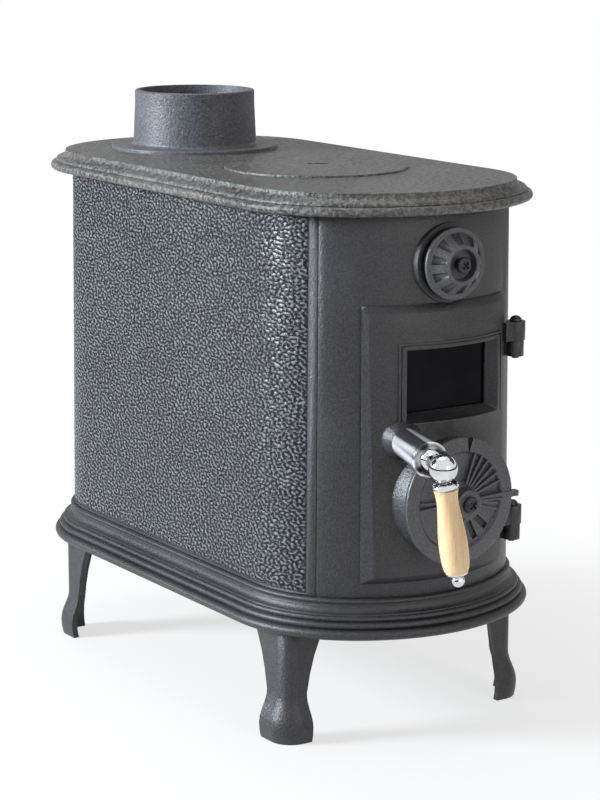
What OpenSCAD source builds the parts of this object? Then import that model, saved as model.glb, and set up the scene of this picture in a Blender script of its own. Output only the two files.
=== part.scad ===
// Cast-iron box stove on four legs: hammered sides, glazed door, chrome and beech handle.
// +Z up, the door faces -Y, origin on the floor under the middle of the body.

/* [Plan outline] */
// Half width of the top plate
half_w = 145; // [139:1:151]
// Half length of the straight sides
side_half = 156.5; // [140:0.5:175]
// How much flatter the front and the back are than the four corners, as a difference of radius
bulge = 40; // [35:5:45]

/* [Heights] */
// Clear height under the base plate
leg_h = 102.5; // [90:0.5:125]
// Height of the base plate with its mouldings
base_h = 33.5; // [32:0.5:40]
// Height of the wall panels between the two plates
wall_h = 337; // [332:1:360]
// Height of the top plate with its mouldings
top_h = 18.8; // [18.5:0.1:24]
// Thickness of the cooking surface
top_web = 9.8; // [8:0.1:12]
// Thickness of the base plate's floor
base_web = 18; // [14:0.5:20]

/* [Wall panels] */
// Inset of the panels from the outline at their lower edge
wall_in_low = 17.6; // [16:0.1:20]
// Inset of the panels from the outline at their upper edge
wall_in_high = 21.2; // [19:0.1:23]
// Casting thickness of the panels
wall_t = 6; // [5:0.1:7]
// Corner angle at which the side panels meet the front and back panels
seam_a = 52; // [48:0.5:56]
// Open joint between two panels
seam_gap = 0.3; // [0.1:0.1:0.6]
// Depth of the hammered field in the side panels
field_d = 1.2; // [0.8:0.1:2]
// Smooth border of the hammered field, beside the seams
field_border = 9; // [6:0.5:14]
// Smooth border of the hammered field, above and below
field_edge = 2.5; // [2:0.5:8]

/* [Door] */
// Half angle that the door covers on the front
door_a = 32.3; // [31:0.1:33]
// Lower edge of the door above the base plate
door_low = 13.5; // [11:0.5:16]
// Height of the door
door_h = 245; // [240:1:252]
// Stand-off of the door's face from the front panel
door_proud = 6; // [5.6:0.1:7]
// Width of the bevel along the door's upper and lower edges
door_bevel = 6.5; // [5:0.5:10]
// Width of the bevel along the door's upright edges
door_side = 14; // [8:0.5:15]
// Running gap behind the door
door_gap = 0.5; // [0.4:0.1:1]
// Half width of the opening behind the door
opening_half = 62; // [58:0.5:64]
// Lap of the door over the opening, above and below
opening_lap = 18.5; // [16:0.5:20]
// Width of the rope seal
rope_w = 6; // [5:0.5:7]
// Depth of the rope seal's groove
rope_d = 3.3; // [2.4:0.1:3.6]

/* [Window] */
// Distance of the window's middle to the right of the door's middle
window_x = 7.4; // [0:0.1:8]
// Half width of the clear window
window_half = 43; // [38:0.5:43.5]
// Height of the clear window
window_h = 54.6; // [48:0.1:58]
// Middle of the window above the lower edge of the door
window_up = 175.9; // [172:0.1:179]
// Width of the window's sloping side reveals
reveal = 8.6; // [6:0.1:9]
// Drop of the sill towards the front
sill_drop = 5.6; // [3:0.1:7]
// Rise of the window's head towards the front
head_rise = 4; // [2:0.1:6]
// Width of the raised bead round the window
bead_w = 5.7; // [4.5:0.1:6.5]
// Height of the raised bead
bead_h = 2; // [1:0.5:3]
// Thickness of the window glass
glass_t = 4; // [3:0.5:5]

/* [Hinges] */
// Angle of the hinge axis round the front
hinge_a = 35.4; // [35:0.1:37]
// Distance of the hinge axis from the panel's face
hinge_off = 11.5; // [10.5:0.1:13]
// Outer radius of the door's knuckles
knuckle_r = 8.6; // [8:0.1:9.5]
// Outer radius of the panel's knuckles
lug_r = 7.6; // [7:0.1:8.5]
// Height of one knuckle
knuckle_h = 16.8; // [14:0.1:19]
// Height of the panel's knuckles
lug_h = 14.3; // [11:0.1:17]
// Radius of the hinge pins
pin_r = 3; // [2.5:0.1:3.5]
// Top of the lower hinge's panel knuckle above the door's lower edge
hinge_low = 32.5; // [28:0.5:40]
// Top of the upper hinge's panel knuckle above the door's lower edge
hinge_high = 201; // [190:0.5:215]

/* [Lower air disc] */
// Radius of the lower air disc
disc_r = 57; // [54:0.5:58]
// Width of the disc's plain rim
disc_rim = 13; // [8:0.5:14]
// Height of the disc's centre above the door's lower edge
disc_up = 72.5; // [68:0.5:76]
// Radius of the boss that the disc turns on
disc_boss_r = 55; // [53:0.5:56.5]
// Stand-off of the disc boss from the door's face
disc_boss_up = 10.3; // [8:0.1:12]
// Running gap behind the disc
disc_gap = 0.6; // [0.4:0.1:1]
// Thickness of the disc's rim
disc_t = 4.6; // [4.2:0.1:6]
// Height of the disc's hub over its rim
hub_up = 13.5; // [9:0.5:15]
// Ribs in each fan of the disc
fan_ribs = 6; // [4:1:8]

/* [Upper air wheel] */
// Radius of the upper air wheel
wheel_r = 31.4; // [28:0.1:33]
// Height of the wheel's centre below the top of the panels
wheel_down = 43.6; // [42:0.1:48]
// Radius of the boss behind the wheel
wheel_boss_r = 34.7; // [33.5:0.1:36]
// Stand-off of the wheel's boss from the front panel
wheel_boss_up = 3; // [2:0.5:4]
// Lobes cast round the wheel's face
wheel_lobes = 10; // [8:1:12]
// Height of the wheel's cone over its rim
wheel_dome = 11; // [9:0.5:13]
// Gap behind the wheel
wheel_gap = 6; // [2:0.1:7]
// Height of the collar that holds the screw's head off the wheel
wheel_collar = 5.6; // [1:0.1:6]

/* [Handle] */
// Distance of the handle's spindle from the door's middle
handle_x = 46.4; // [45:0.1:48]
// Height of the spindle above the door's lower edge
handle_up = 128.6; // [124:0.1:132]
// Radius of the spindle
spindle_r = 5; // [4.5:0.1:5.5]
// Reach from the door's face to the ball
ball_reach = 111; // [95:1:120]
// Radius of the chrome ball
ball_r = 12.2; // [11:0.1:13]
// Length of the flared sleeve
sleeve_l = 68; // [58:1:70]
// Radius of the flared sleeve at its mouth
sleeve_r = 15.5; // [14.5:0.1:17]
// Lean of the hanging grip
grip_lean = 8.6; // [0:0.1:10]
// Length of the wooden grip
grip_l = 72; // [62:1:82]
// Largest radius of the wooden grip
grip_r = 12.2; // [10.6:0.1:13]

/* [Top fittings] */
// Radius of the hob lid
lid_r = 84.8; // [80:0.1:88]
// Thickness of the hob lid
lid_t = 6; // [5:0.1:7]
// Height of the hob lid's face over the cooking surface
lid_up = 1.6; // [0.5:0.1:2]
// Distance of the hob lid's centre from the middle, towards the door
lid_fwd = 60; // [57:0.5:63]
// Distance of the flue's centre from the middle, towards the back
flue_back = 155.4; // [150:0.1:158]
// Outer radius of the flue spigot at its rim, for a 120 mm pipe
flue_r = 59; // [57:0.1:60]
// Outer radius of the spigot at its foot
flue_foot_r = 60.8; // [60.5:0.1:64]
// Wall of the flue spigot
flue_wall = 4.5; // [4:0.1:6]
// Height of the flue spigot above the cooking surface
flue_h = 57; // [50:0.5:65]
// Radius of the flue collar's flange
flange_r = 82.2; // [80:0.1:84]
// Thickness of the flange
flange_t = 3.5; // [3.2:0.1:5]

/* [Legs] */
// Inset of the shins' outer faces from the sides of the outline
leg_in = 17; // [16:0.5:20]
// Reach of the shins' outer faces past the straight sides, along
leg_past = 50.5; // [46:0.5:52]
// Casting thickness of the legs
leg_t = 6; // [5:0.1:7]
// Outward kick of the foot
foot_kick = 8.2; // [5:0.1:10]
// Rounding of the leg's outer corner
leg_round = 14; // [11:0.5:16]

/* [Inside] */
// Height of the grate's top over the base plate
grate_up = 74; // [66:1:80]
// Half width of the grate
grate_half = 96; // [90:1:97]
// Half length of the grate
grate_long = 190; // [170:1:198]
// Bars of the grate
grate_bars = 11; // [8:1:13]
// Height of the baffle's underside over the base plate
baffle_up = 262; // [256:1:272]
// Half width of the ash pan
pan_half = 78; // [70:1:84]
// Depth of the ash pan
pan_h = 30; // [24:1:34]

/* [Hidden] */

iron = [0.19, 0.19, 0.21];
chrome = [0.85, 0.86, 0.88];
steel = [0.55, 0.56, 0.58];
$fn = 96;
eps = 0.02;

// Heights
base_z = leg_h;
wall_z = base_z + base_h;
top_z = wall_z + wall_h;
cook_z = top_z + top_h;
door_z = wall_z + door_low;
door_top = door_z + door_h;
open_z = door_z + opening_lap;
open_top = door_top - opening_lap;
window_z = door_z + window_up;
disc_z = door_z + disc_up;
wheel_z = top_z - wheel_down;
handle_z = door_z + handle_up;

// Plan: the corner arcs are centred at (corner_x, side_half), the end arcs at (0, end_y).
// An end arc meets a corner arc on a line of slope 3:4, which keeps every centre a short decimal.
meet_sin = 0.6;
meet_cos = 0.8;
meet_a = asin(meet_sin);
corner_x = meet_sin * bulge;
end_y = side_half - meet_cos * bulge;
corner_r = half_w - corner_x;
end_r = corner_r + bulge;
leg_x = half_w - leg_in;
leg_y = side_half + leg_past;
big = 600;

// Inset of the panels' outer face from the outline at a height
function inset(z) = wall_in_low + (wall_in_high - wall_in_low) * (z - wall_z) / wall_h;
// Radius of the front face at a height, round the end centre
function front_r(z) = end_r - inset(z);
// Section between two stand-offs from the panels' outer face
function skin(o1, o2, z1, z2) =
    [[o1 - inset(z1), z1], [o2 - inset(z1), z1], [o2 - inset(z2), z2], [o1 - inset(z2), z2]];
// Points of an arc
function arc(x, y, r, a1, a2, n = 7) =
    [for (i = [0:n]) let (a = a1 + (a2 - a1) * i / n) [x + r * cos(a), y + r * sin(a)]];
// Half angle of a chord round the end centre
function chord_a(half, r) = asin(half / r);

// ---------------------------------------------------------------- sweeps round the outline
// Direction in plan at an angle from the front
function toward(a) = [sin(a), -cos(a)];
// Section at a radius, in whole thousandths
function section(r, pts) = [for (p = pts) [r + round(p[0] * 1000) / 1000, round(p[1] * 1000) / 1000]];

// Everything between two directions from a point of the plan
module plan_wedge(at, u, v) {
    translate([0, 0, -1]) linear_extrude(big) polygon([at, at + big * u, at + big * (u + v), at + big * v]);
}

// The round front, from one angle to another
module end_sweep(pts, a1, a2) {
    translate([0, -end_y, 0]) rotate([0, 0, a1 - 90])
        rotate_extrude(angle = a2 - a1, $fn = 180) polygon(section(end_r, pts));
}

// The round front between its two corners
module end_sector(pts) {
    intersection() {
        translate([0, -end_y, 0]) rotate([0, 0, 180])
            rotate_extrude(angle = 180, $fn = 180) polygon(section(end_r, pts));
        plan_wedge([0, -end_y], [-meet_sin, -meet_cos], [meet_sin, -meet_cos]);
    }
}

// The front right corner between two directions
module corner_sector(pts, u, v) {
    intersection() {
        translate([corner_x, -side_half, 0]) rotate([0, 0, -90])
            rotate_extrude(angle = 120, $fn = 180) polygon(section(corner_r, pts));
        plan_wedge([corner_x, -side_half], u, v);
    }
}

// The straight right side
module side_run(pts) {
    translate([0, side_half, 0]) rotate([90, 0, 0]) linear_extrude(2 * side_half) polygon(section(half_w, pts));
}

// The front wall, from seam to seam
module front_sweep(pts) {
    trim = seam_gap / 2 / (corner_r - wall_in_high) * 180 / PI;
    end_sector(pts);
    for (m = [0, 1]) mirror([m, 0, 0]) corner_sector(pts, [meet_sin, -meet_cos], toward(seam_a - trim));
}

// The right side wall, from a corner angle at the front to the same at the back
module side_sweep(pts, a) {
    side_run(pts);
    for (m = [0, 1]) mirror([0, m, 0]) corner_sector(pts, toward(a), [1, 0]);
}

// A closed section all the way round the outline
module ring_sweep(pts) {
    for (m = [0, 1]) mirror([m, 0, 0]) side_run(pts);
    for (m = [0, 1]) mirror([0, m, 0]) {
        end_sector(pts);
        for (n = [0, 1]) mirror([n, 0, 0]) corner_sector(pts, [meet_sin, -meet_cos], [1, 0]);
    }
}

// Points of one quarter of the outline at an offset, from the front towards the right side
function quarter(o) = concat(
    [for (a = [0:meet_a / 3:meet_a - 1]) [(end_r + o) * sin(a), -end_y - (end_r + o) * cos(a)]],
    [for (i = [0:5]) let (a = meet_a + (90 - meet_a) * i / 5)
        [corner_x + (corner_r + o) * sin(a), -side_half - (corner_r + o) * cos(a)]]);

// A web that fills a ring
module web(o, z1, z2) {
    q = quarter(o);
    n = len(q);
    translate([0, 0, z1]) linear_extrude(z2 - z1) polygon(concat(q, [for (i = [n - 1:-1:0]) [q[i][0], -q[i][1]]],
        [for (i = [1:n - 1]) [-q[i][0], -q[i][1]]], [for (i = [n - 1:-1:1]) [-q[i][0], q[i][1]]]));
}

// ---------------------------------------------------------------- frames that pieces are placed in
// Local origin on the front's centre line at a stand-off, local -Y outwards
module round_front(a, r, z) {
    translate([0, -end_y, z]) rotate([0, 0, a]) translate([0, -r, 0]) children();
}

// A round bar along -Y, from its inner end to its outer end
module rod_y(r, y_in, y_out) {
    translate([0, y_in, 0]) rotate([90, 0, 0]) cylinder(r = r, h = y_in - y_out);
}

// A profile of [radius, distance outwards] turned round local -Y
module turn_y(pts) {
    rotate([90, 0, 0]) rotate_extrude() polygon(pts);
}

// A pan head with a cross recess, its seat at the local origin
module pan_head(r, h) {
    cross_w = r * 0.26;
    cross_l = r * 1.1;
    difference() {
        turn_y(concat([[0, 0], [r, 0]], arc(r - h * 0.7, h * 0.3, h * 0.7, 0, 90), [[0, h]]));
        for (a = [45, 135]) rotate([0, a, 0]) translate([-cross_l / 2, -h - eps, -cross_w / 2])
            cube([cross_l, h * 0.5, cross_w]);
    }
}

// A hexagonal nut on local -Y
module nut_y(across, h, bore) {
    difference() {
        rotate([90, 0, 0]) cylinder(r = across / sqrt(3), h = h, $fn = 6);
        rod_y(bore, eps, -h - eps);
    }
}

// ---------------------------------------------------------------- base and top plate
rim_w = 18;
ring_in = 42;
web_in = 34;
pad_in = 45;
pad_long = 59;
rod_x = half_w - 39;
rod_y0 = side_half - 31.5;
rod_r = 4;
bolt_r = 4;
bolt_in = 20;
bolt_back = 22;
thread_gap = 0.05;

// The base plate's moulding, from the floor side up: two rolls, a bead, a cove and a thin ring
function base_edge() = concat(
    [[-4, base_z]], arc(-2.5, base_z + 4.5, 4.5, -70, 78),
    [[-3.4, base_z + 9.1]], arc(-5.5, base_z + 12, 3, -65, 75),
    [[-6.4, base_z + 15.2]], arc(-8.6, base_z + 17.4, 2.4, -60, 72),
    [[-9.4, base_z + 19.9]], arc(-8.6, base_z + 27, 6, 262, 180),
    [[-15.2, base_z + 27.6], [-15.2, base_z + 28.4]], arc(-16, base_z + base_h - 2.4, 2, -60, 60, 5),
    [[-16, wall_z]]);

// The top plate's moulding: a roll, an ovolo and a cove below the cooking surface
function top_edge() = concat(
    [[-6, top_z]], arc(-4, top_z + 4, 4, -80, 75),
    [[-5.4, top_z + 8.1]], arc(-9, top_z + 8.4, 4, 5, 85),
    [[-9.6, top_z + 12.7]], arc(-9.2, cook_z - 0.4, top_h - 13.4, 262, 180), [[-9.2 - top_h + 13.4, cook_z]]);

module leg_pad() {
    chamfer = 4;
    translate([0, 0, base_z]) linear_extrude(base_h - base_web + 2)
        polygon([[leg_x - pad_in, -leg_y], [leg_x - chamfer, -leg_y], [leg_x, -leg_y + chamfer],
            [leg_x, -leg_y + pad_long], [leg_x - pad_in, -leg_y + pad_long]]);
}

module four_ways() {
    for (m = [0, 1]) for (n = [0, 1]) mirror([m, 0, 0]) mirror([0, n, 0]) children();
}

module base_plate() {
    hollow_top = wall_z - base_web;
    color(iron) difference() {
        union() {
            ring_sweep(concat(base_edge(), [[-ring_in, wall_z], [-ring_in, hollow_top],
                [-rim_w, hollow_top], [-rim_w, base_z]]));
            web(-web_in, hollow_top, wall_z);
            four_ways() leg_pad();
        }
        four_ways() translate([leg_x - bolt_in, -leg_y + bolt_back, base_z - 1]) cylinder(r = bolt_r, h = 18);
        four_ways() translate([rod_x, -rod_y0, base_z]) cylinder(r = rod_r + thread_gap, h = base_h + 1);
    }
}

lid_seat = 6.5;
lid_gap = 0.8;
boss_r = 9;
boss_drop = 10;

module top_plate() {
    web_z = cook_z - top_web;
    rim_in = wall_in_high + wall_t + 2;
    color(iron) difference() {
        union() {
            ring_sweep(concat(top_edge(), [[-ring_in, cook_z], [-ring_in, web_z],
                [-rim_in, web_z], [-rim_in, top_z]]));
            web(-web_in, web_z, cook_z);
            translate([0, -lid_fwd, web_z - 4]) cylinder(r = lid_r + 7, h = 5);
            four_ways() translate([rod_x, -rod_y0, web_z - boss_drop]) cylinder(r = boss_r, h = boss_drop + 1);
        }
        translate([0, -lid_fwd, cook_z - lid_t]) cylinder(r = lid_r + lid_gap, h = lid_t + 1);
        translate([0, -lid_fwd, top_z - 1]) cylinder(r = lid_r - lid_seat, h = top_h + 2);
        translate([0, flue_back, top_z - 1]) cylinder(r = flue_r - flue_wall, h = top_h + 2);
        four_ways() translate([rod_x, -rod_y0, web_z - boss_drop - 1])
            cylinder(r = rod_r + thread_gap, h = boss_drop + 6);
        flue_screw_places() translate([0, 0, -8]) cylinder(r = 2.5, h = 9);
    }
}

// ---------------------------------------------------------------- wall panels
lug_w = 30;
lug_t = 8;
ledge_y = 70;

// A ledge inside a side wall that carries the grate or the baffle
module ledge(z, reach) {
    into_wall = half_w - inset(z) - wall_t / 2;
    for (m = [0, 1]) mirror([0, m, 0]) translate([reach, -lug_w / 2 - ledge_y, z - lug_t])
        cube([into_wall - reach, lug_w, lug_t]);
}

module right_panel_shape() {
    field_low = wall_z + field_edge;
    field_high = top_z - field_edge;
    field_trim = field_border / (corner_r - wall_in_high) * 180 / PI;
    seam_trim = seam_gap / 2 / (corner_r - wall_in_high) * 180 / PI;
    color(iron) {
        difference() {
            side_sweep(skin(-wall_t, 0, wall_z, top_z), seam_a + seam_trim);
            side_sweep(skin(-field_d, 1, field_low, field_high), seam_a + field_trim);
        }
        ledge(wall_z + grate_up - grate_t, grate_half - 6);
        ledge(wall_z + baffle_up, baffle_half - 6);
    }
}

module right_side_panel() right_panel_shape();

module left_side_panel() mirror([1, 0, 0]) right_panel_shape();

module rear_panel() {
    color(iron) mirror([0, 1, 0]) front_sweep(skin(-wall_t, 0, wall_z, top_z));
}

hinge_r = front_r(door_z + hinge_high) + hinge_off;
pin_fit = 0.06;
knuckle_gap = 0.3;
web_half = 4;
low_lug_z = door_z + hinge_low - lug_h;
high_lug_z = door_z + hinge_high - lug_h;
wheel_face = end_y + front_r(wheel_z) + wheel_boss_up;
wheel_well = 7;
air_hole_r = 5;
air_screw_r = 4;
air_fit = 0.05;

module hinge_lug(z) {
    reach = hinge_r - front_r(z) + wall_t - 1;
    round_front(hinge_a, hinge_r, z) {
        cylinder(r = lug_r, h = lug_h, $fn = 64);
        translate([-web_half, 0, 0]) cube([2 * web_half, reach, lug_h]);
    }
}

module front_panel() {
    inside_y = 11;
    color(iron) difference() {
        union() {
            front_sweep(skin(-wall_t, 0, wall_z, top_z));
            translate([0, 0, wheel_z]) rod_y(wheel_boss_r, inside_y - wheel_face, -wheel_face);
            hinge_lug(low_lug_z);
            hinge_lug(high_lug_z);
            on_spindle() translate([keeper_screw_x, 0, keeper_screw_z]) rod_y(6, keeper_base_y, 12);
        }
        translate([-opening_half, -big, open_z]) cube([2 * opening_half, big, open_top - open_z]);
        for (z = [low_lug_z, high_lug_z]) round_front(hinge_a, hinge_r, z - 1)
            cylinder(r = pin_r + pin_fit / 3, h = lug_h + 2);
        translate([0, 0, wheel_z]) rod_y(air_screw_r + air_fit, 0, -big);
        translate([0, 0, wheel_z]) difference() {
            rod_y(wheel_boss_r - 4, 4 - wheel_face, -big);
            rod_y(9, 5 - wheel_face, -wheel_face);
        }
        translate([0, 0, wheel_z]) for (i = [0:5]) rotate([0, 60 * i, 0]) translate([18, 0, 0])
            rod_y(air_hole_r, 0, -big);
        on_spindle() translate([keeper_screw_x, 0, keeper_screw_z]) rod_y(2, keeper_base_y + 1, 9);
    }
}

// ---------------------------------------------------------------- legs
leg_plate_t = 6;

// Outward kick of the leg's face at a height
function kick(z) = z > 44 ? 0
    : z > 14 ? foot_kick * (1 + cos(180 * (z - 14) / 30)) / 2
    : foot_kick - 2 * pow(1 - z / 14, 2);

// Face of the leg as [distance from the shin's outer face, height]
leg_levels = [0, 3, 7, 14, 20, 24, 28, 32, 36, 40, 44, leg_h];
function leg_section() = concat([for (z = leg_levels) [kick(z), z]],
    [for (i = [len(leg_levels) - 1:-1:0]) [kick(leg_levels[i]) - leg_t, leg_levels[i]]]);

// Edge of one arm of the leg: width from the shin's outer corner against height
function arm_edge(low, ankle, high) =
    [[low, -1], [low, 18], [ankle, 36], [ankle, 44], [ankle + (high - ankle) * 0.18, 62],
     [ankle + (high - ankle) * 0.42, 78], [ankle + (high - ankle) * 0.68, 90], [high, leg_h + 1]];

module leg_arm(edge) {
    intersection() {
        rotate([90, 0, 90]) translate([0, 0, -90]) linear_extrude(90 - leg_round) mirror([1, 0])
            polygon(leg_section());
        translate([0, 30, 0]) rotate([90, 0, 0]) linear_extrude(60) mirror([1, 0])
            polygon(concat([[0, -1]], edge, [[0, leg_h + 1]]));
    }
}

// Leg of the front right corner, its outer corner at the local origin, arms along -X and +Y
module leg_shape() {
    color(iron) difference() {
        translate([leg_x, -leg_y, 0]) {
            translate([-leg_round, leg_round, 0]) rotate([0, 0, -90]) rotate_extrude(angle = 90)
                polygon([for (p = leg_section()) [leg_round + p[0], p[1]]]);
            leg_arm(arm_edge(24, 22.4, 41));
            mirror([1, 0, 0]) rotate([0, 0, 90]) mirror([1, 0, 0]) mirror([0, 1, 0]) leg_arm(arm_edge(31.5, 31, 52));
            translate([3 - pad_in + 4, 3, leg_h - leg_plate_t]) cube([pad_in - 10, pad_long - 13, leg_plate_t]);
        }
        translate([leg_x - bolt_in, -leg_y + bolt_back, leg_h - 20]) cylinder(r = bolt_r + 0.3, h = 30);
    }
}

module front_right_leg() leg_shape();

module front_left_leg() mirror([1, 0, 0]) leg_shape();

module rear_right_leg() mirror([0, 1, 0]) leg_shape();

module rear_left_leg() mirror([1, 0, 0]) mirror([0, 1, 0]) leg_shape();

module leg_bolts() {
    head_h = 5.5;
    color(steel) four_ways() translate([leg_x - bolt_in, -leg_y + bolt_back, leg_h - leg_plate_t - head_h]) {
        cylinder(r = 7.5, h = head_h, $fn = 6);
        cylinder(r = bolt_r - thread_gap, h = head_h + leg_plate_t + 12);
    }
}

// ---------------------------------------------------------------- tie rods
nut_h = 6.5;

module tie_rods() {
    low = wall_z - base_web - nut_h - 3;
    high = cook_z - top_web + 4;
    color(steel) four_ways() translate([rod_x, -rod_y0, low]) cylinder(r = rod_r, h = high - low);
}

module tie_rod_nuts() {
    color(steel) four_ways() translate([rod_x, -rod_y0, wall_z - base_web - nut_h]) difference() {
        cylinder(r = 7.5, h = nut_h, $fn = 6);
        translate([0, 0, -1]) cylinder(r = rod_r + thread_gap, h = nut_h + 2);
    }
}

// ---------------------------------------------------------------- flue and hob
flue_land = 12;
sink_h = 2.5;
screw_slack = 0.3;

module flue_screw_places() {
    for (a = [90, 210, 330]) translate([0, flue_back, cook_z]) rotate([0, 0, a])
        translate([(flange_r + flue_foot_r) / 2 + 1, 0, 0]) children();
}

module flue_collar() {
    bore = flue_r - flue_wall;
    color(iron) difference() {
        translate([0, flue_back, cook_z]) rotate_extrude($fn = 180) polygon(concat(
            [[bore, 0], [flange_r, 0], [flange_r, flange_t - 1]],
            arc(flange_r - 1, flange_t - 1, 1, 0, 90, 3),
            arc(flue_foot_r + 3, flange_t + 3, 3, 270, 180, 4),
            [[flue_r, flue_h - flue_land], [flue_r, flue_h - 1], [flue_r - 1, flue_h], [bore, flue_h]]));
        flue_screw_places() {
            translate([0, 0, -1]) cylinder(r = 2.5 + screw_slack, h = flange_t + 2);
            translate([0, 0, flange_t - sink_h]) cylinder(r1 = 2.5, r2 = 5 + screw_slack, h = sink_h + eps);
        }
    }
}

module flue_collar_screws() {
    color(iron) flue_screw_places() {
        translate([0, 0, -7]) cylinder(r = 2.45, h = 7 + flange_t - sink_h);
        translate([0, 0, flange_t - sink_h]) cylinder(r1 = 2.45, r2 = 4.95, h = sink_h);
    }
}

slot_l = 20;
slot_w = 8;
slot_d = 3.6;
slot_out = 17.5;
slot_a = 48;

module hob_lid() {
    color(iron) difference() {
        translate([0, -lid_fwd, cook_z - lid_t]) {
            cylinder(r = lid_r, h = lid_t + lid_up, $fn = 180);
            translate([0, 0, -4]) cylinder(r = lid_r - lid_seat - 1, h = 4 + eps, $fn = 180);
        }
        translate([0, -lid_fwd, cook_z + lid_up - slot_d]) rotate([0, 0, slot_a])
            translate([slot_out - slot_w / 2, -slot_l / 2, 0]) cube([slot_w, slot_l, slot_d + 1]);
    }
}

// ---------------------------------------------------------------- inside the body
grate_t = 10;
baffle_half = 96;
baffle_t = 6;
pan_t = 2;
pan_long = 170;

module fire_grate() {
    rail = 12;
    pitch = 2 * (grate_half - rail) / grate_bars;
    slot = pitch * 0.55;
    color(iron) translate([0, 0, wall_z + grate_up - grate_t]) difference() {
        translate([-grate_half, -grate_long, 0]) cube([2 * grate_half, 2 * grate_long, grate_t]);
        for (i = [0:grate_bars - 1]) for (y = [-1, 0, 1])
            translate([-grate_half + rail + pitch * (i + 0.5) - slot / 2, y * grate_long * 0.62 - grate_long * 0.27, -1])
                cube([slot, grate_long * 0.54, grate_t + 2]);
        four_ways() translate([grate_half - 34, -grate_long - 1, -1]) linear_extrude(grate_t + 2)
            polygon([[8, 0], [40, 0], [40, 44]]);
    }
}

// Corner cut that clears the rounded corners of the body
module baffle_plate() {
    front = -110;
    back = 205;
    color(iron) translate([0, 0, wall_z + baffle_up]) linear_extrude(baffle_t)
        polygon([[-baffle_half, front], [baffle_half, front], [baffle_half, back - 40], [baffle_half - 34, back],
            [34 - baffle_half, back], [-baffle_half, back - 40]]);
}

module ash_pan() {
    color(steel) translate([0, 0, wall_z]) difference() {
        translate([-pan_half, -pan_long, 0]) cube([2 * pan_half, 2 * pan_long, pan_h]);
        translate([pan_t - pan_half, pan_t - pan_long, pan_t])
            cube([2 * (pan_half - pan_t), 2 * (pan_long - pan_t), pan_h]);
    }
}

// ---------------------------------------------------------------- door
seat_y = end_y + front_r(window_z) - 13;
gasket_t = 1.5;
glass_lap = 4.5;
seat_border = 3.5;
seat_land = 1.2;
clip_w = 17;
clip_t = 2;
disc_face = end_y + front_r(disc_z) + door_proud + disc_boss_up;
disc_wall = 6;
disc_plate = 7;

module door_plate() {
    edge = 1.2;
    z1 = door_z;
    z2 = door_z + door_bevel;
    z3 = door_top - door_bevel;
    z4 = door_top;
    difference() {
        end_sweep([[door_gap - inset(z1), z1], [edge - inset(z1), z1], [door_proud - inset(z2), z2],
            [door_proud - inset(z3), z3], [edge - inset(z4), z4], [door_gap - inset(z4), z4]], -door_a, door_a);
        for (m = [0, 1]) mirror([m, 0, 0]) door_side_bevel(edge);
    }
}

// Cuts the door's upright edge back to a bevel
module door_side_bevel(edge) {
    rise = door_proud - edge;
    slope = atan(rise / door_side);
    round_front(door_a, front_r(wall_z) + edge, door_z - 1) rotate([0, 0, slope])
        translate([-40, -40, 0]) cube([80, 40, door_h + 2]);
}

// Frame that runs round the opening in the door's lap, used for the groove and the rope
module lap_frame(o1, o2, half, w, z1, z2) {
    a_out = chord_a(half + w, front_r(door_z));
    a_in = chord_a(half, front_r(door_z));
    difference() {
        end_sweep(skin(o1, o2, z1 - w, z2 + w), -a_out, a_out);
        end_sweep(skin(o1 - 1, o2 + 1, z1, z2), -a_in, a_in);
    }
}

rope_half = opening_half + 2.5;
rope_z1 = open_z - 2.5;
rope_z2 = open_top + 2.5;

// The clear window, ruled out from the glass to a wider outline on the door's curved face
window_low = window_z - window_h / 2;
window_high = window_z + window_h / 2;
front_low = window_low - sill_drop;
front_high = window_high + head_rise;
front_x1 = window_x - window_half - reveal;
front_x2 = window_x + window_half + reveal;

module window_cut() {
    r = front_r(window_z) + door_proud + bead_h + 0.6;
    // Rounding of the sill's ends as [distance from the end, height over the sill]
    corner = [[0, 3.4], [0.4, 1.7], [1.3, 0.5], [3, 0]];
    span = front_x2 - front_x1;
    inner = [for (i = [1:11]) [span * i / 12, 0]];
    columns = concat(corner, inner, [for (p = corner) [span - p[0], p[1]]]);
    hull() {
        translate([window_x - window_half, -seat_y - seat_land, window_low]) cube([2 * window_half, 0.1, window_h]);
        for (p = columns) round_front(chord_a(front_x1 + p[0], r), r, front_low + p[1])
            translate([-0.01, 0, 0]) cube([0.02, 0.02, front_high - front_low - p[1]]);
    }
    translate([window_x - window_half, -seat_y - seat_land - 1, window_low]) cube([2 * window_half, 40, window_h]);
}

// A raised frame round the window with a groove between its two ridges
module window_bead() {
    r = front_r(window_z) + door_proud;
    ridge = 1.4;
    groove = 1.3;
    groove_d = 1.3;
    low = front_low - ridge;
    difference() {
        end_sweep(skin(door_gap, door_proud + bead_h, low, front_high + bead_w),
            chord_a(front_x1 - bead_w, r), chord_a(front_x2 + bead_w, r));
        difference() {
            end_sweep(skin(door_proud + bead_h - groove_d, door_proud + bead_h + 1, low - 1, front_high + bead_w - ridge),
                chord_a(front_x1 - bead_w + ridge, r), chord_a(front_x2 + bead_w - ridge, r));
            end_sweep(skin(door_proud - 2, door_proud + bead_h + 2, low - 2, front_high + bead_w - ridge - groove),
                chord_a(front_x1 - bead_w + ridge + groove, r), chord_a(front_x2 + bead_w - ridge - groove, r));
        }
    }
}

// Flat seat for the glass behind the curved door
module window_seat() {
    half = window_half + glass_lap + seat_border;
    high = window_h + 2 * glass_lap + 12;
    into_plate = (door_gap + door_proud) / 2;
    intersection() {
        translate([window_x - half, -big, window_z - high / 2]) cube([2 * half, big - seat_y, high]);
        translate([0, -end_y, window_z - high]) cylinder(r = front_r(window_z) + into_plate, h = 2 * high);
    }
}

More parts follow.
